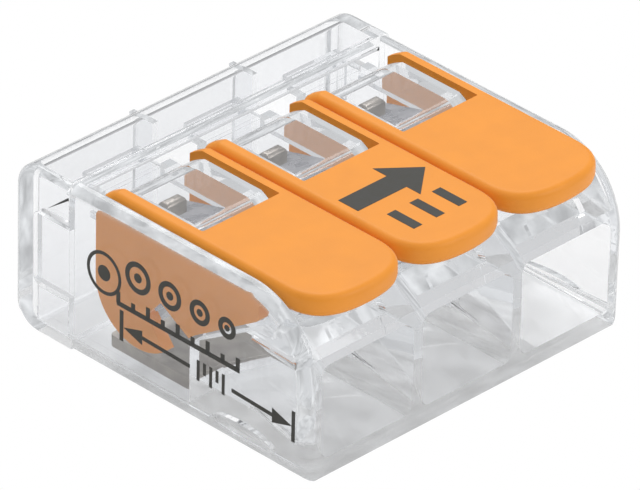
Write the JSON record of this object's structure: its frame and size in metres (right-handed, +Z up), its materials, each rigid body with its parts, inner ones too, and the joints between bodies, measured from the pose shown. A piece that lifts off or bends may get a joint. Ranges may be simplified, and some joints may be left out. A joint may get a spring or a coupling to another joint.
{
  "type": "lever wire connector",
  "caption": "Clear splicing connector with orange hinged levers, square wire entries at the front, cage spring clamps on a common current bar inside and a separate rear cover.",
  "frame": {"origin": "middle of the underside", "axes": "+X across the poles, +Y from the wire entries to the rear cover, +Z up through the levers"},
  "size_m": [0.023, 0.021, 0.0101],
  "materials": {
    "clear_plastic": "clear polished polycarbonate",
    "lever_plastic": "satin moulded orange",
    "spring_steel": "bright rolled strip",
    "tinned_copper": "tin plated copper stamping",
    "print_ink": "dark pad-printed ink"
  },
  "bodies": {
    "connector_body": {"housing": "clear_plastic", "rear_cover": "clear_plastic", "busbar": "tinned_copper", "clamping_spring_1": "spring_steel", "clamping_spring_2": "spring_steel", "clamping_spring_3": "spring_steel"},
    "lever_body_1": {"lever_1": "lever_plastic"},
    "lever_body_2": {"lever_2": "lever_plastic"},
    "lever_body_3": {"lever_3": "lever_plastic"},
    "leg_body_1": {"clamping_leg_1": "spring_steel"},
    "leg_body_2": {"clamping_leg_2": "spring_steel"},
    "leg_body_3": {"clamping_leg_3": "spring_steel"}
  },
  "joints": [
    {"name": "lever_hinge_1", "type": "hinge", "parent": "connector_body", "child": "lever_body_1", "pos_m": [-0.0071, 0.002, 0.0052], "axis": [-1, 0, 0], "range_deg": [0, 84]},
    {"name": "lever_hinge_2", "type": "hinge", "parent": "connector_body", "child": "lever_body_2", "pos_m": [0, 0.002, 0.0052], "axis": [-1, 0, 0], "range_deg": [0, 84]},
    {"name": "lever_hinge_3", "type": "hinge", "parent": "connector_body", "child": "lever_body_3", "pos_m": [0.0071, 0.002, 0.0052], "axis": [-1, 0, 0], "range_deg": [0, 84]},
    {"name": "spring_leg_1", "type": "hinge", "parent": "connector_body", "child": "leg_body_1", "pos_m": [-0.0071, -0.00003, 0.00716], "axis": [1, 0, 0], "range_deg": [0, 36]},
    {"name": "spring_leg_2", "type": "hinge", "parent": "connector_body", "child": "leg_body_2", "pos_m": [0, -0.00003, 0.00716], "axis": [1, 0, 0], "range_deg": [0, 36]},
    {"name": "spring_leg_3", "type": "hinge", "parent": "connector_body", "child": "leg_body_3", "pos_m": [0.0071, -0.00003, 0.00716], "axis": [1, 0, 0], "range_deg": [0, 36]}
  ],
  "couplings": [
    {"joint": "spring_leg_1", "follows": "lever_hinge_1", "ratio": 0.4285},
    {"joint": "spring_leg_2", "follows": "lever_hinge_2", "ratio": 0.4285},
    {"joint": "spring_leg_3", "follows": "lever_hinge_3", "ratio": 0.4285}
  ]
}
